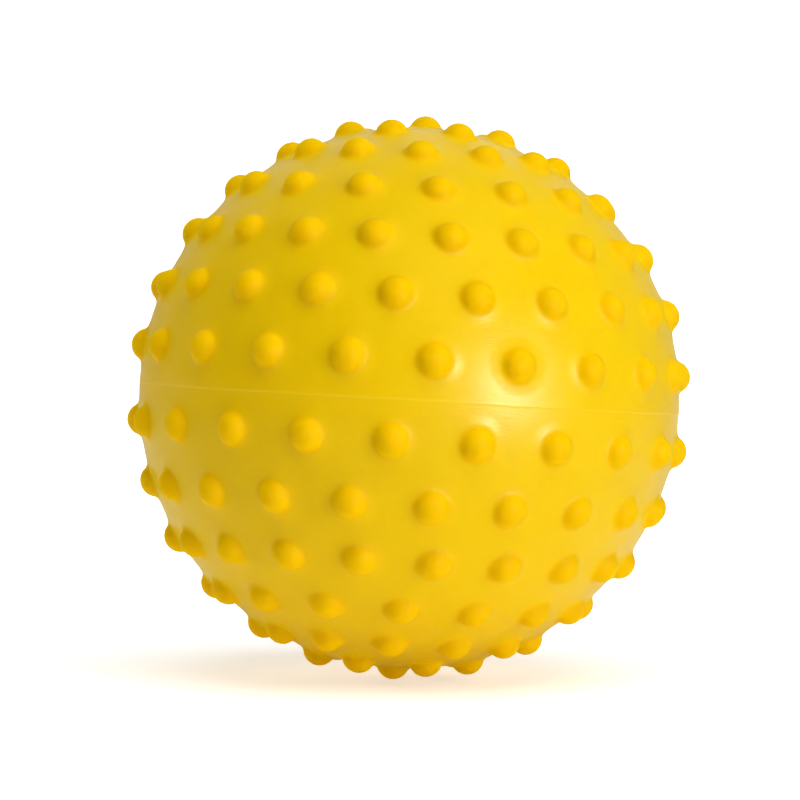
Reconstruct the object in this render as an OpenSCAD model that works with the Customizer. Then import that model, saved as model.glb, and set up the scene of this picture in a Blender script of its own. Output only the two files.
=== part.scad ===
// Knobbly sensory ball: a hollow soft skin of two halves, with an air valve and its plug.
// The frame has its origin at the centre of the ball. +Z runs through the knob on top of the upper half,
// the seam lies in the plane z = 0, and the valve is at the rear, on the +Y side. Lengths are in mm.

/* [Skin] */
// Diameter of the skin between the knobs
skin_d = 170; // [160:2:240]
// Thickness of the skin
wall = 1.6; // [1.4:0.1:3]
// Height of the thicker weld band inside each half, measured from the seam
band_h = 4; // [2:0.5:6]
// Thickness that the weld band adds inside the skin
band_t = 1.4; // [0.6:0.1:3]
// Width of the raised bead along the seam
bead_w = 1.4; // [1:0.1:2.4]
// Height of the raised bead above the skin
bead_h = 0.4; // [0.2:0.05:0.45]

/* [Knobs] */
// Diameter of the round top of a knob
knob_d = 10.4; // [9.6:0.1:11.2]
// Height of a knob above the skin
knob_h = 4.1; // [3.8:0.1:5]
// Diameter of the foot where a knob runs into the skin
foot_d = 14.5; // [13.5:0.25:16.5]
// Height at which the foot meets the round top
foot_h = 1.5; // [1.2:0.1:2]
// Angle through which the hollow curve of the foot turns
foot_bend = 42; // [20:1:46]
// Angle of the first row of knobs, measured from the seam
row_start = 8; // [7.4:0.1:8.4]
// Angle from one row of knobs to the next
row_step = 13.1; // [12.8:0.1:13.6]

/* [Valve] */
// Diameter of the valve's collar
collar_d = 11.2; // [10.4:0.1:11.6]
// Height of the collar above the skin
collar_h = 0.5; // [0.3:0.1:1]
// Depth of the recess that takes the head of the plug
recess_h = 1.8; // [1.4:0.1:2.2]
// Width of the rim of the collar round the recess
rim_w = 1.2; // [0.8:0.1:1.6]
// Diameter of the flange inside the skin
flange_d = 20; // [16:0.5:24]
// Thickness of the flange at its edge
flange_t = 1.2; // [0.8:0.1:3]
// Diameter of the tube that holds the stem of the plug
tube_d = 7.6; // [7:0.1:9]
// Length of the tube behind the flange
tube_h = 7; // [5:0.5:12]
// Diameter of the bore through the valve
bore_d = 4; // [3.4:0.1:4.4]
// Length of the stem of the plug, without its head
stem_h = 8; // [7.4:0.1:10]
// Height of a sealing rib above the stem
rib_h = 0.35; // [0.2:0.05:0.5]
// Width of a sealing rib
rib_w = 1; // [0.8:0.1:1.4]
// Distance from one sealing rib to the next
rib_step = 2.2; // [1.8:0.1:2.4]
// Clearance round the sealing ribs in the bore
rib_gap = 0.03; // [0.02:0.01:0.08]
// Clearance round the head of the plug in its recess
head_gap = 0.15; // [0.1:0.05:0.3]
// Height to which the top of the head bulges above its edge
head_bulge = 0.4; // [0.2:0.1:0.8]
// Clearance between the collar and the edge of its hole in the skin
hole_gap = 0.04; // [0.02:0.01:0.1]

/* [Hidden] */
$fn = 96;

// The skin.
skin_r = skin_d / 2;
inner_r = skin_r - wall;
root_r = skin_r - wall / 2;

// The seam bead is a strip of a circle that stands out of the skin by the height of the bead.
bead_r = (pow(bead_w / 2, 2) + pow(bead_h, 2)) / (2 * bead_h);

// A knob. Its round top is part of a sphere. Its foot is hollowed by an arc from the neck, where it meets
// the round top, to a point a little below the surface of the skin, and it ends inside the wall.
knob_r = knob_d / 2;
foot_r = foot_d / 2;
top_z = skin_r + knob_h - knob_r;
neck_z = skin_r + foot_h;
neck_r = sqrt(pow(knob_r, 2) - pow(neck_z - top_z, 2));
sunk_share = 0.25;
foot_z = sqrt(pow(skin_r - wall * sunk_share, 2) - pow(foot_r, 2));
base_z = sqrt(pow(root_r, 2) - pow(foot_r, 2));
foot_run = foot_r - neck_r;
foot_rise = neck_z - foot_z;
foot_chord = sqrt(pow(foot_run, 2) + pow(foot_rise, 2));
arc_r = foot_chord / (2 * sin(foot_bend / 2));
arc_off = arc_r * cos(foot_bend / 2);
arc_x = (neck_r + foot_r) / 2 + arc_off * foot_rise / foot_chord;
arc_z = (neck_z + foot_z) / 2 + arc_off * foot_run / foot_chord;

// The rows of one half, from the seam on: how many knobs, and how far each row is turned from the front,
// as a share of its own step.
row_counts = [21, 21, 20, 16, 13, 7];
upper_turn_shares = [0.26, -0.24, 0.42, 0.22, -0.04, -0.5];
lower_turn_shares = [-0.18, 0.35, 0.46, 0.06, -0.06, 0.48];

// The valve lies below the rearmost knob of the second row and half way between two knobs of the first,
// as far from all three.
rear = ceil(row_counts[1] / 2);
valve_round = (rear + upper_turn_shares[1]) * 360 / row_counts[1];
half_step = 180 / row_counts[0] * cos(row_start);
valve_up = row_start + (pow(row_step, 2) - pow(half_step, 2)) / (2 * row_step);

// The seat of the valve, measured outwards from the centre of the ball.
collar_r = collar_d / 2;
flange_r = flange_d / 2;
recess_r = collar_r - rim_w;
collar_z = skin_r + collar_h;
recess_z = collar_z - recess_h;
flange_z = sqrt(pow(inner_r, 2) - pow(flange_r, 2)) - flange_t;
tube_z = flange_z - tube_h;
notch_share = 0.7;
notch_r = rim_w * notch_share;

// The plug.
rib_r = bore_d / 2 - rib_gap;
stem_r = rib_r - rib_h;
head_r = recess_r - head_gap;
bulge_r = (pow(head_r, 2) + pow(head_bulge, 2)) / (2 * head_bulge);
tip_z = recess_z - stem_h;
ribs = 3;

// Puts something drawn along +Z at an angle above the seam and an angle round from the front.
module at_place(up, round) {
    rotate([0, 0, round])
        rotate([90 - up, 0, 0])
            children();
}

module knob() {
    rotate_extrude() {
        intersection() {
            translate([0, top_z])
                circle(r = knob_r);
            translate([0, base_z])
                square([knob_d, skin_r]);
        }
        difference() {
            polygon([[0, base_z], [foot_r, base_z], [foot_r, foot_z], [neck_r, neck_z], [0, neck_z]]);
            translate([arc_x, arc_z])
                circle(r = arc_r);
        }
    }
}

// All knobs of one half. The side is 1 for the upper half and -1 for the lower one.
module knobs(turn_shares, side) {
    for (i = [0:len(row_counts) - 1])
        for (k = [0:row_counts[i] - 1])
            at_place(side * (row_start + i * row_step), (k + turn_shares[i]) * 360 / row_counts[i])
                knob();
    at_place(side * 90, 0)
        knob();
}

// The upper half of the skin with its weld band and its half of the bead.
module half_skin() {
    rotate_extrude() {
        difference() {
            intersection() {
                union() {
                    circle(r = skin_r);
                    translate([skin_r + bead_h - bead_r, 0])
                        circle(r = bead_r);
                }
                square([skin_d, skin_d]);
            }
            circle(r = inner_r);
        }
        difference() {
            square([root_r, band_h]);
            circle(r = inner_r - band_t);
        }
    }
}

module upper_shell() {
    color("gold")
        difference() {
            union() {
                half_skin();
                knobs(upper_turn_shares, 1);
            }
            at_place(valve_up, valve_round)
                translate([0, 0, tube_z])
                    cylinder(r = collar_r + hole_gap, h = skin_r);
        }
}

module lower_shell() {
    color("gold") {
        mirror([0, 0, 1])
            half_skin();
        knobs(lower_turn_shares, -1);
    }
}

// The collar fills the hole in the skin, and the flange lies against the inside of the skin.
module valve_seat() {
    color("goldenrod")
        at_place(valve_up, valve_round)
            difference() {
                rotate_extrude()
                    difference() {
                        union() {
                            intersection() {
                                translate([0, flange_z])
                                    square([flange_r, flange_d]);
                                circle(r = inner_r, $fn = 256);
                            }
                            translate([0, flange_z])
                                square([collar_r, collar_z - flange_z]);
                            translate([0, tube_z])
                                square([tube_d / 2, tube_h + flange_t]);
                        }
                        translate([0, recess_z])
                            square([recess_r, flange_d]);
                        translate([0, tube_z - tube_h])
                            square([bore_d / 2, skin_r]);
                    }
                translate([0, recess_r, recess_z])
                    cylinder(r = notch_r, h = skin_r);
            }
}

// The head lies flush in the recess. Each rib slopes towards the tip and is square towards the head.
module valve_plug() {
    color("khaki")
        at_place(valve_up, valve_round)
            rotate_extrude() {
                intersection() {
                    translate([0, recess_z])
                        square([head_r, recess_h]);
                    translate([0, collar_z - bulge_r])
                        circle(r = bulge_r);
                }
                translate([0, tip_z + stem_r])
                    square([stem_r, stem_h]);
                intersection() {
                    translate([0, tip_z + stem_r])
                        circle(r = stem_r);
                    translate([0, tip_z])
                        square([stem_r, stem_h]);
                }
                for (i = [1:ribs])
                    translate([0, tip_z + i * rib_step])
                        polygon([[0, -rib_w / 2], [stem_r, -rib_w / 2], [rib_r, 0], [rib_r, rib_w / 2],
                            [0, rib_w / 2]]);
            }
}

upper_shell();
lower_shell();
valve_seat();
valve_plug();
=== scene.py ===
# Knobbly sensory ball: a hollow soft skin of two halves with their knobs, and an air valve with its plug.
# Profiles are in mm and objects in metres, in the frame of the CAD model: the origin is the centre of the
# ball, +Z runs through the knob on top, the seam lies in the plane z = 0 and -Y is the front.
import math

import bmesh
import bpy
import numpy as np
from mathutils import Matrix, Vector


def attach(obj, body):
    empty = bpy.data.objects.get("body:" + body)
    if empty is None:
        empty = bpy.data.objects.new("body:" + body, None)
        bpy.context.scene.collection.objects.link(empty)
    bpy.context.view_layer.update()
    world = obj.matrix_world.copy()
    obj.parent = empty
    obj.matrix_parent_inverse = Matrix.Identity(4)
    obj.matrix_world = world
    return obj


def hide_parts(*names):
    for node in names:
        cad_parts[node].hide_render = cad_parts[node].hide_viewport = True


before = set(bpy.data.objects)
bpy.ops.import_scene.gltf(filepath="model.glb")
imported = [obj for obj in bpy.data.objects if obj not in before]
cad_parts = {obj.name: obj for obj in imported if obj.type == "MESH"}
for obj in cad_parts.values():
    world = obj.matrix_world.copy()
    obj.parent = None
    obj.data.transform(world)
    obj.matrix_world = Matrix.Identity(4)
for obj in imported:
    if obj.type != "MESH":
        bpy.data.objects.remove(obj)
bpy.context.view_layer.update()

MM = 0.001
WELD = 0.002 * MM  # points nearer to each other than this are joined

# The sizes of the CAD model, in mm and degrees.
SKIN_R, WALL = 85.0, 1.6
BAND_H, BAND_T = 4.0, 1.4
DOME_R, KNOB_H = 5.2, 4.1
ROW_START, ROW_STEP = 8.0, 13.1
ROW_COUNTS = (21, 21, 20, 16, 13, 7)
UPPER_TURNS = (0.26, -0.24, 0.42, 0.22, -0.04, -0.5)
LOWER_TURNS = (-0.18, 0.35, 0.46, 0.06, -0.06, 0.48)
COLLAR_R, COLLAR_H, RIM_W, RECESS_H = 5.6, 0.5, 1.2, 1.8
FLANGE_R, FLANGE_T = 10.0, 1.2
TUBE_R, TUBE_H = 3.8, 7.0
BORE_R, STEM_H = 2.0, 8.0
RIBS, RIB_H, RIB_W, RIB_STEP = 3, 0.35, 1.0, 2.2
RIB_GAP, HEAD_GAP, HOLE_GAP = 0.03, 0.15, 0.04
BULGE = 0.4
NOTCH_SHARE = 0.7

# The profile of a knob, outwards from its axis: a round top, a hollow foot and a thin run-out.
REACH = 9.65  # how far from its axis a knob shapes the skin
NECK_SLOPE = math.radians(61)  # slope at which the round top goes over into the foot
TAIL_H = 0.33  # height at which the foot goes over into the run-out
TAIL_RUN = 1.5  # distance in which the run-out falls to about a third
TAIL_END = 2.5  # length of the last part of the run-out, which fades to nothing
SCALED_FROM = 0.3  # above this height a knob has its own size
SIZE_SPREAD = 0.025  # how much the knobs differ in size, as a standard deviation
TOP_STEPS, FOOT_STEPS, RUN_STEPS = 70, 60, 60  # points along each part of the profile
KNOB_EDGE = 5.4  # inside this a knob has its own, duller surface
TINT_END, TINT_RUN = 6.5, 0.8  # where the knob's own colour ends, and the distance in which it comes in

# The edge of the valve's hole in the skin.
VALVE_REACH = 7.3  # how far from its axis the valve shapes the skin
DIP, DIP_RUN = 0.06, 1.6  # how deep the skin dips towards the hole, and in what distance
EDGE_R, EDGE_START = 0.12, 0.2  # radius of the hole's edge, and the angle at which it begins
STRAIGHT_FROM = 0.3  # depth at which the hole's straight side begins
LIP, LIP_RUN = 0.1, 1.4  # bare skin round the collar, and the distance in which the feet of knobs come in
CUT_SHARE = 0.97  # share of the collar's radius inside which the skin is taken away

# The seam. Waves round it are given as amplitude, number of waves and phase.
SEAM_WAVER = ((0.22, 2, 0.4), (0.12, 5, 1.9), (0.07, 11, 0.7))
RIDGE_LEVEL, RIDGE_CHANGES = 0.78, ((0.14, 7, 1.0), (0.12, 19, 0), (0.08, 47, 2))
RIDGE_H, RIDGE_W = 0.04, 0.28
SWELL_H, SWELL_W = 0.02, 1.3
STEP_H, STEP_W, STEP_PHASE, STEP_FADE = 0.035, 0.16, 0.12, 4  # the small step between the halves
CREST_LEVEL, CREST_CHANGE, CREST_W = 0.65, 0.35, 0.3  # the paler colour along the crest, partly the weld line's own paler PVC and partly a painted highlight, stronger on the left side
SEAM_W = 2.0  # distance from the seam in which light stops being scattered under the surface

# The unevenness of the skin: height, seed, and the fewest and the most waves round the ball.
UNEVEN = ((0.09, 3, 4, 11), (0.03, 5, 14, 30))
WAVE_COUNT = 24
WAVE_PEAK = 1.6  # peak of the summed waves, as a multiple of their root mean square
NICK_UP, NICK_ROUND = -0.85, -7.3  # a nick just below the seam, near the front
NICK_DEPTH, NICK_R = 0.16, 0.42

# Rows of points from the seam to the pole of a half, which lie closer together along the seam.
ROWS, QUICK_ROWS, INNER_SHARE = 300, 120, 4
SEAM_CLOSER, CLOSER_SHARE = 0.72, 0.045
NO_KNOB = 99.0  # stands for the distance from a knob's axis where there is no knob


def direction(up, round_):
    """Unit vector at an angle above the seam and an angle round from the front, in degrees."""
    u, r = math.radians(up), math.radians(round_)
    return np.array((math.cos(u) * math.sin(r), -math.cos(u) * math.cos(r), math.sin(u)))


def knob_places(turns, side):
    """Unit vectors to the knobs of one half. The side is 1 for the upper half and -1 for the lower one."""
    places = [direction(side * (ROW_START + i * ROW_STEP), (k + turns[i]) * 360 / n)
              for i, n in enumerate(ROW_COUNTS) for k in range(n)]
    return np.array(places + [direction(side * 90, 0)])


# The valve lies below the rearmost knob of the second row and half way between two knobs of the first,
# as far from all three.
HALF_STEP = 180 / ROW_COUNTS[0] * math.cos(math.radians(ROW_START))
VALVE_UP = ROW_START + (ROW_STEP ** 2 - HALF_STEP ** 2) / (2 * ROW_STEP)
VALVE_ROUND = (math.ceil(ROW_COUNTS[1] / 2) + UPPER_TURNS[1]) * 360 / ROW_COUNTS[1]
VALVE = direction(VALVE_UP, VALVE_ROUND)
VALVE_TOP = direction(VALVE_UP + 90, VALVE_ROUND)  # square to the valve's axis, towards the top of the ball


def smooth(x):
    """Eases a share that runs from 0 to 1 at both of its ends."""
    return x ** 2 * (3 - 2 * x)


def bell(x, width):
    """A bell curve of height 1 about 0, which falls to about a third at the width."""
    return np.exp(-(x / width) ** 2)


def sines(lon, terms):
    """A sum of waves round the seam, each an amplitude, a number of waves and a phase."""
    return sum(size * np.sin(count * lon + phase) for size, count, phase in terms)


def run_from(v, site):
    """Distance along the skin, in mm, from a site to unit vectors."""
    return np.arccos(np.clip(v @ site, -1, 1)) * SKIN_R


def measured(points):
    """A profile as an array, and how far along it each of its points lies, from 0 to 1."""
    points = np.array(points)
    run = np.r_[0, np.cumsum(np.hypot(*np.diff(points, axis=0).T))]
    return points, run / run[-1]


def knob_profile():
    """From the edge of a knob's reach to its top: distance from its axis, and height above the skin."""
    dome_z = KNOB_H - DOME_R
    neck_x, neck_z = DOME_R * math.sin(NECK_SLOPE), dome_z + DOME_R * math.cos(NECK_SLOPE)
    tail_slope = math.atan(TAIL_H / TAIL_RUN)
    turn = math.sin(NECK_SLOPE) - math.sin(tail_slope)
    tail_x = neck_x + (neck_z - TAIL_H) * turn / (math.cos(tail_slope) - math.cos(NECK_SLOPE))
    hollow_r = (tail_x - neck_x) / turn
    slope = np.linspace(NECK_SLOPE, tail_slope, FOOT_STEPS)
    foot_x = neck_x + hollow_r * (math.sin(NECK_SLOPE) - np.sin(slope))
    foot_z = neck_z - hollow_r * (np.cos(slope) - math.cos(NECK_SLOPE))
    run_x = np.linspace(tail_x, REACH, RUN_STEPS)[1:]
    fade = 1 - smooth(np.clip((run_x - REACH + TAIL_END) / TAIL_END, 0, 1))
    run_z = TAIL_H * np.exp(-(run_x - tail_x) / TAIL_RUN) * fade
    x, z = np.r_[foot_x, run_x][::-1], np.r_[foot_z, run_z][::-1]
    top = [(DOME_R * math.sin(a), dome_z + DOME_R * math.cos(a))
           for a in np.linspace(NECK_SLOPE, 0, TOP_STEPS)[1:]]
    return measured(list(zip(x, z)) + top)


def hole_profile():
    """From the edge of the valve's reach to the bottom of its hole in the skin, given the same way."""
    r = COLLAR_R + HOLE_GAP
    points = [(VALVE_REACH, 0)]
    points += [(x, -DIP * max(0, 1 - (x - r) / DIP_RUN) ** 2)
               for x in np.linspace(r + DIP_RUN, r + EDGE_R, 16)]
    points += [(r + EDGE_R * (1 - math.sin(a)), -DIP - EDGE_R * (1 - math.cos(a)))
               for a in np.linspace(EDGE_START, math.pi / 2, 6)]
    points += [(r, z) for z in np.linspace(-STRAIGHT_FROM, -WALL, 8)]
    return measured(points + [(r * 0.5, -WALL)])


def waves(v, seed, low, high):
    """Smooth noise of about -1 to 1 at unit vectors: plane waves with low to high waves round the ball."""
    rng = np.random.default_rng(seed)
    out = np.zeros(len(v))
    for _ in range(WAVE_COUNT):
        k = rng.normal(size=3)
        k *= rng.uniform(low, high) / np.linalg.norm(k)
        out += np.sin(v @ k + rng.uniform(0, 2 * math.pi))
    return out / math.sqrt(WAVE_COUNT / 2) / WAVE_PEAK


def seam_marks(v):
    """The seam's height above the skin, the share of its crest's paler colour, which is partly painted
    highlight, and its nearness, at unit vectors.
    """
    lon = np.arctan2(v[:, 0], -v[:, 1])
    z = np.arcsin(np.clip(v[:, 2], -1, 1)) * SKIN_R
    strong = RIDGE_LEVEL + sines(lon, RIDGE_CHANGES)
    x = z - sines(lon, SEAM_WAVER)
    ridge = RIDGE_H * strong * bell(x, RIDGE_W) + SWELL_H * bell(x, SWELL_W)
    step = STEP_H * np.sin(lon + STEP_PHASE) * np.tanh(x / STEP_W) * bell(x, STEP_FADE)
    # The crest is coloured paler, more so on the left: partly the weld line's own paler PVC, partly a painted
    # highlight along the seam.
    crest = bell(x, CREST_W) * strong * (CREST_LEVEL - CREST_CHANGE * np.sin(lon))
    return ridge + step, crest, bell(z, SEAM_W)


def knob_tint(from_axis):
    """How much of the knob's own colour and dullness there is at a distance from its axis."""
    return np.clip((TINT_END - from_axis) / TINT_RUN, 0, 1)


def place_sites(v, sites, profile, scales, reach):
    """Moves the unit vectors near each site to where they lie on its profile. Gives all of them, their
    heights above the skin, the knob's share in their colour, and their distances from the site's axis, which
    are NaN where no site is near."""
    out, height, tint = v.copy(), np.zeros(len(v)), np.zeros(len(v))
    from_axis = np.full(len(v), np.nan)
    points, run = profile
    cos_reach = math.cos(reach / SKIN_R)
    for site, scale in zip(sites, scales):
        near = np.nonzero(v @ site > cos_reach)[0]
        if not len(near):
            continue
        w = v[near]
        away = w - np.clip(w @ site, -1, 1)[:, None] * site
        norm = np.linalg.norm(away, axis=1)[:, None]
        away = np.where(norm > 1e-9, away / np.maximum(norm, 1e-9), np.array((1.0, 0, 0)))
        share = 1 - run_from(w, site) / reach
        rho = np.interp(share, run, points[:, 0])
        z = np.interp(share, run, points[:, 1])
        angle = (rho / SKIN_R)[:, None]
        out[near] = np.cos(angle) * site + np.sin(angle) * away
        height[near] = np.where(z > SCALED_FROM, z * scale, z)
        tint[near] = knob_tint(rho)
        from_axis[near] = rho
    return out, height, tint, from_axis


def grid(n, closer):
    """An upper half in rows from the seam to the pole, with 4(n - j) points in row j. Gives its unit vectors,
    its triangles and the number of its points along the seam."""
    spacing = 1 - closer * bell(np.arange(n), n * CLOSER_SHARE)
    lat = np.r_[0, np.cumsum(spacing)]
    lat *= math.pi / 2 / lat[-1]
    counts = [4 * (n - j) for j in range(n)] + [1]
    start = np.r_[0, np.cumsum(counts)]
    verts = np.zeros((start[-1], 3))
    for j in range(n):
        lon = np.arange(counts[j]) * 2 * math.pi / counts[j]
        verts[start[j]:start[j + 1]] = np.stack(
            [math.cos(lat[j]) * np.sin(lon), -math.cos(lat[j]) * np.cos(lon),
             np.full(counts[j], math.sin(lat[j]))], 1)
    verts[-1] = (0, 0, 1)
    tris = []
    for j in range(n):
        m = n - j
        q, i = (x.ravel() for x in np.meshgrid(np.arange(4), np.arange(m), indexing="ij"))
        above = counts[j + 1]
        a = start[j] + q * m + i
        b = start[j] + (q * m + i + 1) % counts[j]
        c = start[j + 1] + (q * (m - 1) + i) % above
        d = start[j + 1] + (q * (m - 1) + i + 1) % above
        inner = i < m - 1
        tris += [np.stack([a, b, c], 1), np.stack([b[inner], d[inner], c[inner]], 1)]
    return verts, np.concatenate(tris), counts[0]


def weld(me):
    """Joins points that lie at the same place, such as the ring of points that a lathe leaves on its axis.
    Faces that lose their area by it go."""
    bm = bmesh.new()
    bm.from_mesh(me)
    bmesh.ops.remove_doubles(bm, verts=bm.verts, dist=WELD)
    bmesh.ops.dissolve_degenerate(bm, edges=bm.edges, dist=WELD)
    bm.to_mesh(me)
    bm.free()


def mesh_object(name, verts, faces, shade_smooth=True):
    """A mesh from points in metres. Its faces are an array of triangles, or a list of tuples."""
    me = bpy.data.meshes.new(name)
    if isinstance(faces, np.ndarray):
        me.vertices.add(len(verts))
        me.vertices.foreach_set("co", np.ascontiguousarray(verts, dtype=np.float32).ravel())
        me.loops.add(faces.size)
        me.loops.foreach_set("vertex_index", np.ascontiguousarray(faces, dtype=np.int32).ravel())
        me.polygons.add(len(faces))
        me.polygons.foreach_set("loop_start", np.arange(0, faces.size, 3, dtype=np.int32))
        me.update(calc_edges=True)
    else:
        me.from_pydata([tuple(v) for v in verts], [], faces)
        weld(me)
    if shade_smooth:
        me.polygons.foreach_set("use_smooth", np.ones(len(me.polygons), dtype=bool))
    me.validate()
    me.update()
    ob = bpy.data.objects.new(name, me)
    bpy.context.scene.collection.objects.link(ob)
    return ob


def outside(v, ring, side, turns, seed):
    """The outside of a half: its points in mm, their distances from the axis of the knob and of the valve
    that shape them, which are NaN elsewhere, and the shares that colour and light need at each point."""
    sites = knob_places(turns, side)
    scales = 1 + SIZE_SPREAD * np.random.default_rng(seed).normal(size=len(sites)).clip(-2, 2)
    scales[-1] = 1
    w, height, tint, from_knob = place_sites(v, sites, knob_profile(), scales, REACH)
    from_valve = np.full(len(v), np.nan)
    if side > 0:
        moved, dip, _, from_valve = place_sites(w, VALVE[None], hole_profile(), [1], VALVE_REACH)
        at = ~np.isnan(from_valve)
        # The feet of the knobs beside the valve run out towards its collar.
        beside = run_from(moved[at], sites.T).min(1)
        foot = knob_profile()[0][::-1]
        fade = smooth(np.clip((from_valve[at] - COLLAR_R - LIP) / LIP_RUN, 0, 1))
        w[at] = moved[at]
        height[at] = dip[at] + np.interp(beside, foot[:, 0], foot[:, 1]) * fade
        tint[at] = knob_tint(beside)
        from_knob[at] = beside
    open_skin = np.isnan(from_knob)
    seam, crest, near_seam = seam_marks(v)
    height += seam * open_skin
    for size, wave_seed, low, high in UNEVEN:
        height += size * waves(w, wave_seed, low, high)
    height -= NICK_DEPTH * bell(run_from(w, direction(NICK_UP, NICK_ROUND)), NICK_R)
    w[:ring, 2] = 0
    # The crest's share carries its paler colour, which is partly a painted highlight along the seam.
    shares = {"knob_share": tint, "crest_pale_and_highlight_share": crest * open_skin, "seam_share": near_seam}
    return w * (SKIN_R + height)[:, None], from_knob, from_valve, shares


def inside(v):
    """The inside of a half, in mm, with the thicker weld band along the seam."""
    points = v * (SKIN_R - WALL)
    low = np.abs(points[:, 2]) < BAND_H
    flat = np.hypot(points[low, 0], points[low, 1])
    band = np.sqrt((SKIN_R - WALL - BAND_T) ** 2 - points[low, 2] ** 2)
    points[low, :2] *= (band / flat)[:, None]
    return points


def rim(ring, ring_in, start):
    """Triangles of the flat rim that meets the other half. The points of the inside begin at start."""
    k = np.arange(ring)
    after = (k + 1) % ring
    ratio = ring // ring_in
    k_in, after_in = start + k // ratio, start + (k // ratio + 1) % ring_in
    last = (k % ratio) == ratio - 1
    return np.concatenate([np.stack([k, k_in, after], 1),
                           np.stack([after[last], k_in[last], after_in[last]], 1)])


def half_skin(name, side, turns, seed, materials):
    """One half of the skin with its knobs. The side is 1 for the upper half and -1 for the lower one."""
    rows = ROWS
    v, tris, ring = grid(rows, SEAM_CLOSER)
    v_in, tris_in, ring_in = grid(rows // INNER_SHARE, 0.0)
    v[:, 2] *= side
    v_in[:, 2] *= side
    outer, from_knob, from_valve, shares = outside(v, ring, side, turns, seed)
    inner = inside(v_in)
    start = len(outer)
    rim_tris = rim(ring, ring_in, start)
    if side > 0:
        tris_in = tris_in[:, ::-1]
        in_hole = np.linalg.norm(inner - VALVE * (SKIN_R - WALL), axis=1) < COLLAR_R
        tris_in = tris_in[~in_hole[tris_in].any(1)]
        tris = tris[~(from_valve[tris] < COLLAR_R * CUT_SHARE).any(1)]
    else:
        tris, rim_tris = tris[:, ::-1], rim_tris[:, ::-1]
    faces = np.concatenate([tris, tris_in + start, rim_tris])
    ob = mesh_object(name, np.concatenate([outer, inner]) * MM, faces)
    me = ob.data
    # The edges of the rim are sharp, so that its flatness doesn't shade the skin.
    ends = np.empty(2 * len(me.edges), dtype=np.int32)
    me.edges.foreach_get("vertices", ends)
    ends = ends.reshape(-1, 2)
    on_rim = (ends < ring).all(1) | ((ends >= start) & (ends < start + ring_in)).all(1)
    me.edges.foreach_set("use_edge_sharp", on_rim)
    for mat in materials:
        me.materials.append(mat)
    spare = np.zeros(len(inner))
    around = np.r_[np.where(np.isnan(from_knob), NO_KNOB, from_knob), spare + NO_KNOB]
    me.polygons.foreach_set("material_index", (around[faces].mean(1) < KNOB_EDGE).astype(np.int32))
    me.update()
    for label, values in shares.items():
        at = me.attributes.new(label, "FLOAT", "POINT")
        at.data.foreach_set("value", np.r_[values, spare].astype(np.float32))
    return ob


def fill(tree, node, values):
    """Gives inputs of a node a value, or another node's output."""
    for key, value in values.items():
        if isinstance(value, bpy.types.NodeSocket):
            tree.links.new(value, node.inputs[key])
        else:
            node.inputs[key].default_value = value
    return node


def add_node(tree, kind, values):
    return fill(tree, tree.nodes.new("ShaderNode" + kind), values)


def attribute(tree, label):
    node = add_node(tree, "Attribute", {})
    node.attribute_name = label
    return node.outputs["Fac"]


def noise(tree, place, scale, detail):
    return add_node(tree, "TexNoise", {"Vector": place, "Scale": scale, "Detail": detail}).outputs["Fac"]


def colours(tree, share, first, second):
    """Runs from the first colour to the second as the share goes from 0 to 1."""
    node = add_node(tree, "Mix", {})
    node.data_type = "RGBA"
    return fill(tree, node, {0: share, 6: first, 7: second}).outputs[2]


def numbers(tree, share, first, second):
    """Runs from the first number to the second as the share goes from 0 to 1."""
    node = add_node(tree, "Mix", {})
    node.data_type = "FLOAT"
    return fill(tree, node, {0: share, 2: first, 3: second}).outputs[0]


def ramp(tree, value, low, high, start=0.0, end=1.0, ease="LINEAR"):
    """Runs from low to high as the value goes from start to end."""
    node = add_node(tree, "MapRange", {"Value": value, "From Min": start, "From Max": end,
                                       "To Min": low, "To Max": high})
    node.interpolation_type = ease
    return node.outputs["Result"]


def arithmetic(tree, operation, *values):
    node = add_node(tree, "Math", {})
    node.operation = operation
    return fill(tree, node, dict(enumerate(values))).outputs[0]


# Soft plastic. The scales of noise are per metre.
MOTTLE_SCALE, MOTTLE_SPREAD = 38, 0.035
GRAIN_SCALE, LINES_SCALE = 420, (420, 420, 2300)  # level lines are far finer along Z than round it
ROUGH_SPREAD = 0.03
RELIEF_H, RELIEF_STRENGTH = 0.06 * MM, 0.8
# How strongly the seam's crest takes its paler colour, which is partly a painted highlight.
CREST_PALE_AND_HIGHLIGHT_STRENGTH = 0.9
SCATTER, SCATTER_RUN, SCATTER_RGB = 0.45, 2.5 * MM, (1.0, 0.6, 0.05)


def new_material(name):
    mat = bpy.data.materials.new(name)
    mat.use_nodes = True
    return mat, mat.node_tree, mat.node_tree.nodes["Principled BSDF"]


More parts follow.
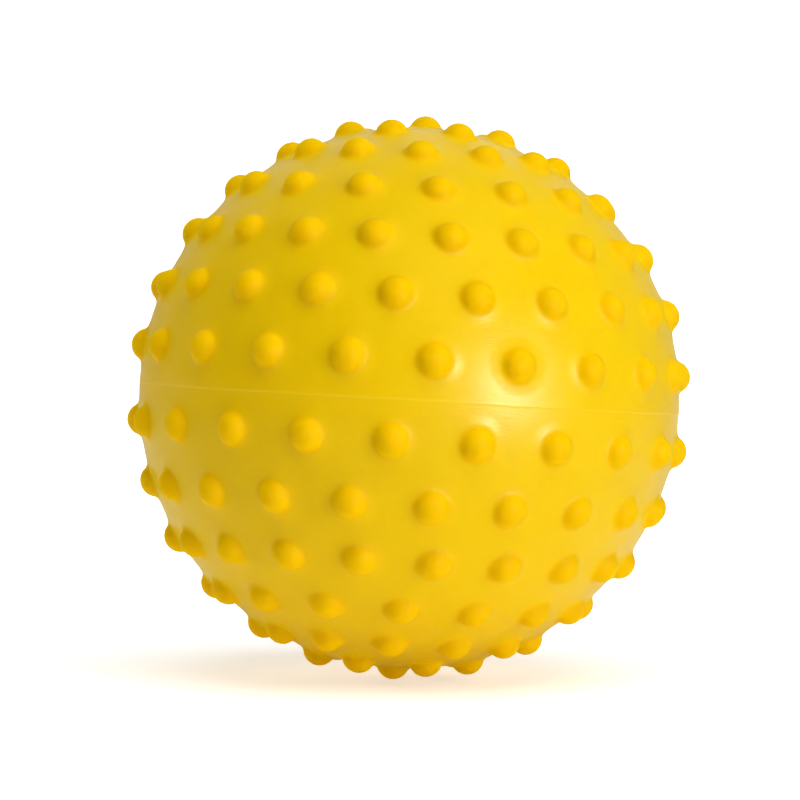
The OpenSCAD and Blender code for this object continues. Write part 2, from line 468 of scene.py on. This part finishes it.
def soft_plastic(name, skin, knob, roughness, shine, streaks, knob_dull=0, tint=(1, 0.95, 0.5)):
    """Soft moulded PVC. Its colour runs from the skin's to the knob's, with a faint mottle and a paler crest
    along the seam that is partly a painted highlight. Its relief runs with the share of streaks from a fine
    grain to the fine level lines that the mould's turning left."""
    mat, tree, bsdf = new_material(name)
    place = add_node(tree, "TexCoord", {}).outputs["Object"]
    knob_share = attribute(tree, "knob_share")
    mottle = noise(tree, place, MOTTLE_SCALE, 3)
    darker = (*[c * (1 - MOTTLE_SPREAD) for c in skin], 1)
    lighter = (*[min(1, c * (1 + MOTTLE_SPREAD)) for c in skin], 1)
    base = colours(tree, knob_share, colours(tree, mottle, darker, lighter), (*knob, 1))
    # The crest's paler colour: partly the weld line's own PVC, partly a painted highlight.
    crest = arithmetic(tree, "MULTIPLY", attribute(tree, "crest_pale_and_highlight_share"), CREST_PALE_AND_HIGHLIGHT_STRENGTH)
    grain = noise(tree, place, GRAIN_SCALE, 4)
    rough = ramp(tree, grain, roughness - ROUGH_SPREAD, roughness + ROUGH_SPREAD)
    squeezed = add_node(tree, "Mapping", {"Vector": place, "Scale": LINES_SCALE}).outputs["Vector"]
    lines = noise(tree, squeezed, 1, 2)
    bump = add_node(tree, "Bump", {"Strength": RELIEF_STRENGTH, "Distance": RELIEF_H,
                                   "Height": numbers(tree, streaks, grain, lines)})
    fill(tree, bsdf, {
        "Base Color": colours(tree, crest, base, CREST_PALE_AND_HIGHLIGHT_COLOUR),
        "Roughness": arithmetic(tree, "MULTIPLY_ADD", knob_share, knob_dull, rough),
        "Normal": bump.outputs["Normal"],
        "Specular IOR Level": shine,
        "Specular Tint": (*tint, 1),
        "IOR": 1.5,
        # Light scattered under the surface can't cross from half to half, so there is none along the seam.
        "Subsurface Weight": ramp(tree, attribute(tree, "seam_share"), SCATTER, 0.0),
        "Subsurface Radius": SCATTER_RGB,
        "Subsurface Scale": SCATTER_RUN,
    })
    return mat


SKIN_COLOUR = (0.90, 0.58, 0.0006)
KNOB_COLOUR = (0.895, 0.545, 0.0003)
# A paler yellow on the seam's crest: partly the weld line's own paler PVC, partly a painted highlight.
CREST_PALE_AND_HIGHLIGHT_COLOUR = (1.0, 0.68, 0.03, 1)
VALVE_COLOUR = (0.84, 0.52, 0.004)
PLUG_COLOUR = (0.86, 0.66, 0.16)
skin_mat = soft_plastic("skin_pvc", SKIN_COLOUR, KNOB_COLOUR, roughness=0.31, shine=0.2, streaks=0.9,
                        knob_dull=0.255)
knob_mat = soft_plastic("knob_pvc", SKIN_COLOUR, KNOB_COLOUR, roughness=0.31, shine=0.05, streaks=0.4,
                        knob_dull=0.255, tint=(1, 0.95, 0.35))

upper = half_skin("upper_skin", 1, UPPER_TURNS, 11, (skin_mat, knob_mat))
lower = half_skin("lower_skin", -1, LOWER_TURNS, 12, (skin_mat, knob_mat))
for ob, node in ((upper, "upper_shell"), (lower, "lower_shell")):
    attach(ob, "ball")
    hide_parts(node)

# The valve, as distances from its axis and from the centre of the ball, in mm.
INNER_R = SKIN_R - WALL
COLLAR_Z = SKIN_R + COLLAR_H
RECESS_Z = COLLAR_Z - RECESS_H
RECESS_R = COLLAR_R - RIM_W
FLANGE_Z = math.sqrt(INNER_R ** 2 - FLANGE_R ** 2) - FLANGE_T
TUBE_Z = FLANGE_Z - TUBE_H
BORE_BEVEL = 0.2
TUBE_ROUND, FLANGE_FILLET, FLANGE_ROUND = 0.3, 0.5, 0.3
FLANGE_INSET, FLANGE_SINK = 0.05, 0.01
COLLAR_ROUND, RECESS_ROUND, RECESS_FILLET = 0.35, 0.2, 0.25
LATHE_STEPS = 96


def lathe(points, close=True):
    """Points in metres and faces of a solid of revolution about the valve's axis, from its section."""
    side = np.cross(VALVE, (0, 0, 1))
    side /= np.linalg.norm(side)
    other = np.cross(VALVE, side)
    p = np.array(points)
    count = len(p)
    verts = []
    for k in range(LATHE_STEPS):
        a = 2 * math.pi * k / LATHE_STEPS
        verts.append((p[:, :1] * (side * math.cos(a) + other * math.sin(a)) + p[:, 1:] * VALVE) * MM)
    faces = []
    for k in range(LATHE_STEPS):
        here, after = k * count, (k + 1) % LATHE_STEPS * count
        for i in range(count if close else count - 1):
            j = (i + 1) % count
            faces.append((here + i, after + i, after + j, here + j))
    return np.concatenate(verts), faces


def arc_points(cx, cz, r, a0, a1, steps):
    return [(cx + r * math.cos(a), cz + r * math.sin(a))
            for a in np.radians(np.linspace(a0, a1, steps))]


def collar_section():
    """The section of the valve's seat, in order round it: tube, flange, collar and recess."""
    points = [(BORE_R, TUBE_Z + BORE_BEVEL), (BORE_R + BORE_BEVEL, TUBE_Z)]
    points += arc_points(TUBE_R - TUBE_ROUND, TUBE_Z + TUBE_ROUND, TUBE_ROUND, -90, 0, 4)
    points += [(TUBE_R, FLANGE_Z - FLANGE_FILLET - 0.1)]
    points += arc_points(TUBE_R + FLANGE_FILLET, FLANGE_Z - FLANGE_FILLET, FLANGE_FILLET, 180, 90, 5)
    points += arc_points(FLANGE_R - FLANGE_ROUND, FLANGE_Z + FLANGE_ROUND, FLANGE_ROUND, -90, 0, 4)
    points += [(x, math.sqrt(INNER_R ** 2 - x ** 2) - FLANGE_SINK)
               for x in np.linspace(FLANGE_R - FLANGE_INSET, COLLAR_R, 8)]
    points += [(COLLAR_R, SKIN_R)]
    points += arc_points(COLLAR_R - COLLAR_ROUND, COLLAR_Z - COLLAR_ROUND, COLLAR_ROUND, 0, 90, 6)
    points += arc_points(RECESS_R + RECESS_ROUND, COLLAR_Z - RECESS_ROUND, RECESS_ROUND, 90, 180, 5)
    points += arc_points(RECESS_R - RECESS_FILLET, RECESS_Z + RECESS_FILLET, RECESS_FILLET, 0, -90, 4)
    return points + [(BORE_R + BORE_BEVEL, RECESS_Z), (BORE_R, RECESS_Z - BORE_BEVEL)]


def cut_notch(seat):
    """Cuts the half-round notch for a fingernail in the rim of the collar, on its upper side."""
    notch_r = RIM_W * NOTCH_SHARE
    a = np.linspace(0, 2 * math.pi, 25)[:-1, None]
    circle = notch_r * (np.cos(a) * VALVE_TOP + np.sin(a) * np.cross(VALVE, VALVE_TOP))
    ends = [(circle + VALVE_TOP * RECESS_R + VALVE * z) * MM for z in (RECESS_Z + 0.02, COLLAR_Z + 1)]
    count = len(a)
    faces = [(i, (i + 1) % count, count + (i + 1) % count, count + i) for i in range(count)]
    faces += [tuple(range(count))[::-1], tuple(range(count, 2 * count))]
    cutter = mesh_object("notch_cutter", np.concatenate(ends), faces, shade_smooth=False)
    cut = seat.modifiers.new("notch", "BOOLEAN")
    cut.operation = "DIFFERENCE"
    cut.solver = "EXACT"
    cut.object = cutter
    bpy.context.view_layer.update()
    cut_mesh = bpy.data.meshes.new_from_object(seat.evaluated_get(bpy.context.evaluated_depsgraph_get()))
    seat.modifiers.clear()
    weld(cut_mesh)
    seat.data = cut_mesh
    bpy.data.objects.remove(cutter)


def plug_section():
    """The section of the plug from its tip to the middle of its head: stem, sealing ribs and domed head."""
    axis_r = 0.001
    rib_r = BORE_R - RIB_GAP
    stem_r = rib_r - RIB_H
    head_r = RECESS_R - HEAD_GAP
    bulge_r = (head_r ** 2 + BULGE ** 2) / (2 * BULGE)
    stem_fillet, head_round, edge_round = 0.25, 0.15, 0.3
    tip_z = RECESS_Z - STEM_H
    edge_z = COLLAR_Z - BULGE
    points = [(axis_r, tip_z)] + arc_points(0, tip_z + stem_r, stem_r, -80, -8, 8)
    # Each rib slopes towards the tip and is square towards the head, with its edges eased.
    for i in range(RIBS):
        z = tip_z + (i + 1) * RIB_STEP
        end = z + RIB_W / 2
        points += [(stem_r, z - RIB_W / 2), (rib_r - 0.05, z - 0.02), (rib_r, z + 0.06),
                   (rib_r, end - 0.08), (rib_r - 0.08, end), (stem_r, end)]
    points += [(stem_r, RECESS_Z - stem_fillet - 0.05)]
    points += arc_points(stem_r + stem_fillet, RECESS_Z - stem_fillet, stem_fillet, 180, 90, 4)
    points += arc_points(head_r - head_round, RECESS_Z + head_round, head_round, -90, 0, 4)
    points += arc_points(head_r - edge_round, edge_z - edge_round, edge_round, 0, 70, 5)
    return points + [(x, COLLAR_Z - bulge_r + math.sqrt(bulge_r ** 2 - x ** 2))
                     for x in np.linspace(head_r - 0.45, axis_r, 14)]


seat = mesh_object("valve_collar", *lathe(collar_section()))
cut_notch(seat)
plug = mesh_object("plug", *lathe(plug_section(), close=False))
seat.data.materials.append(soft_plastic("valve_pvc", VALVE_COLOUR, VALVE_COLOUR, roughness=0.42,
                                        shine=0.3, streaks=0.1))
plug.data.materials.append(soft_plastic("plug_pvc", PLUG_COLOUR, PLUG_COLOUR, roughness=0.36,
                                        shine=0.35, streaks=0.1))
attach(seat, "ball")
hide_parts("valve_seat")
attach(plug, "plug")
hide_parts("valve_plug")

# The photo's view of the ball: the camera's place, and the ball's in the frame.
ROLL, ELEVATION = 3.5, 0.4  # degrees
DISTANCE = 0.935
FRAME_PX, LENS_PX = 800, 2958.0
BALL_PX = (409.3, 398.0)
SENSOR_MM = 36

# Floor, backdrop and lamps stand level in the photo, so they are turned with the camera's roll.
level_turn = Matrix.Rotation(math.radians(-ROLL), 4, "Y")
FLOOR_Z = -(SKIN_R + KNOB_H) * MM
FLOOR_FRONT, FLOOR_BACK, FLOOR_HALF_W = -1.6, 1.2, 3.0
BEND_R, BACKDROP_TOP = 0.8, 2.6
GLOW_FROM, GLOW_TO = (0.15, 0.5), (0.7, 1.0)  # distance from the ball's centre, and strength of the glow
WORLD_LIGHT, WORLD_GLOSS = 0.05, 0.17
LAMP_DISTANCE = 1.6


def floor_object():
    """A level floor that curves up into a backdrop behind the ball."""
    section = [(FLOOR_FRONT, 0.0), (FLOOR_BACK, 0.0)]
    section += [(FLOOR_BACK + BEND_R * math.sin(a), BEND_R - BEND_R * math.cos(a))
                for a in np.linspace(0.1, math.pi / 2, 16)]
    section += [(FLOOR_BACK + BEND_R, BACKDROP_TOP)]
    verts = [(x, y, z + FLOOR_Z) for y, z in section for x in (-FLOOR_HALF_W, FLOOR_HALF_W)]
    faces = [(2 * i, 2 * i + 1, 2 * i + 3, 2 * i + 2) for i in range(len(section) - 1)]
    ob = mesh_object("floor", verts, faces)
    ob.data.transform(level_turn)
    return ob


def floor_white():
    """White that glows to the camera, more so away from the ball, and can't be seen from below."""
    mat, tree, bsdf = new_material("floor_white")
    fill(tree, bsdf, {"Base Color": (0.9, 0.9, 0.9, 1), "Roughness": 0.9, "Specular IOR Level": 0.0})
    away = add_node(tree, "VectorMath", {0: add_node(tree, "TexCoord", {}).outputs["Object"]})
    away.operation = "LENGTH"
    spread = ramp(tree, away.outputs["Value"], GLOW_FROM[1], GLOW_TO[1], start=GLOW_FROM[0], end=GLOW_TO[0],
                  ease="SMOOTHSTEP")
    seen = add_node(tree, "LightPath", {}).outputs["Is Camera Ray"]
    glow = add_node(tree, "Emission", {"Color": (1, 1, 1, 1),
                                       "Strength": arithmetic(tree, "MULTIPLY", seen, spread)})
    lit = add_node(tree, "AddShader", {0: bsdf.outputs[0], 1: glow.outputs[0]})
    clear = add_node(tree, "BsdfTransparent", {})
    below = add_node(tree, "NewGeometry", {}).outputs["Backfacing"]
    pick = add_node(tree, "MixShader", {0: below, 1: lit.outputs[0], 2: clear.outputs[0]})
    fill(tree, tree.nodes["Material Output"], {"Surface": pick.outputs[0]})
    return mat


floor = floor_object()
floor.visible_shadow = False  # it lets the light from below through, as a lit table does
floor.data.materials.append(floor_white())

# The world is white to the camera, faint in reflections and almost dark as light.
world = bpy.data.worlds.new("studio")
bpy.context.scene.world = world
world.use_nodes = True
sky = world.node_tree
ray = add_node(sky, "LightPath", {})
to_camera = ramp(sky, ray.outputs["Is Camera Ray"], WORLD_LIGHT, 1.0)
strength = arithmetic(sky, "MULTIPLY_ADD", ray.outputs["Is Glossy Ray"], WORLD_GLOSS, to_camera)
fill(sky, sky.nodes["Background"], {"Color": (1, 1, 1, 1), "Strength": strength})


def lamp(name, azimuth, elevation, size, power, diffuse=True, glossy=True, colour=(1, 1, 1)):
    """A lamp that faces the ball and that the camera can't see. Azimuth 0 is at the camera and 90 to the
    camera's right."""
    data = bpy.data.lights.new(name, "AREA")
    data.shape = "RECTANGLE"
    data.size, data.size_y = size
    data.energy = power
    data.color = colour
    ob = bpy.data.objects.new(name, data)
    bpy.context.scene.collection.objects.link(ob)
    ob.location = level_turn.to_3x3() @ Vector(direction(elevation, azimuth) * LAMP_DISTANCE)
    ob.rotation_euler = (-ob.location).to_track_quat("-Z", "Y").to_euler()
    ob.visible_camera = False
    ob.visible_diffuse = diffuse
    ob.visible_glossy = glossy


lamp("key", 46, 8, (0.85, 0.8), 10.1, glossy=False)
lamp("gloss_wide", 42, 6, (1.2, 1.0), 10, diffuse=False, colour=(1, 0.94, 0.6))
lamp("gloss_core", 40, 5, (0.5, 0.4), 51, diffuse=False, colour=(0.62, 0.6, 1))
lamp("gloss_back", 190, 48, (1.8, 1.2), 1.8, diffuse=False)
lamp("fill_top", 15, 62, (1.6, 1.6), 22.3, glossy=False)
lamp("fill_low", 35, -60, (1.6, 1.6), 7.2, glossy=False)
lamp("rim", -120, 0, (1.3, 1.3), 12.0, glossy=False)
lamp("back", 168, 8, (1.2, 1.2), 7.0, glossy=False)

cam_data = bpy.data.cameras.new("camera")
cam = bpy.data.objects.new("camera", cam_data)
bpy.context.scene.collection.objects.link(cam)
bpy.context.scene.camera = cam
cam_data.sensor_width = SENSOR_MM
cam_data.lens = SENSOR_MM * LENS_PX / FRAME_PX
cam_data.shift_x = -(BALL_PX[0] - FRAME_PX / 2) / FRAME_PX
cam_data.shift_y = (BALL_PX[1] - FRAME_PX / 2) / FRAME_PX
cam_data.clip_start, cam_data.clip_end = 0.05, 20
towards = Vector(direction(ELEVATION, 0))
look = (-towards).to_track_quat("-Z", "Y").to_matrix()
cam.rotation_euler = (look @ Matrix.Rotation(math.radians(ROLL), 3, "Z")).to_euler()
cam.location = towards * DISTANCE

bpy.context.scene.view_settings.view_transform = "Standard"
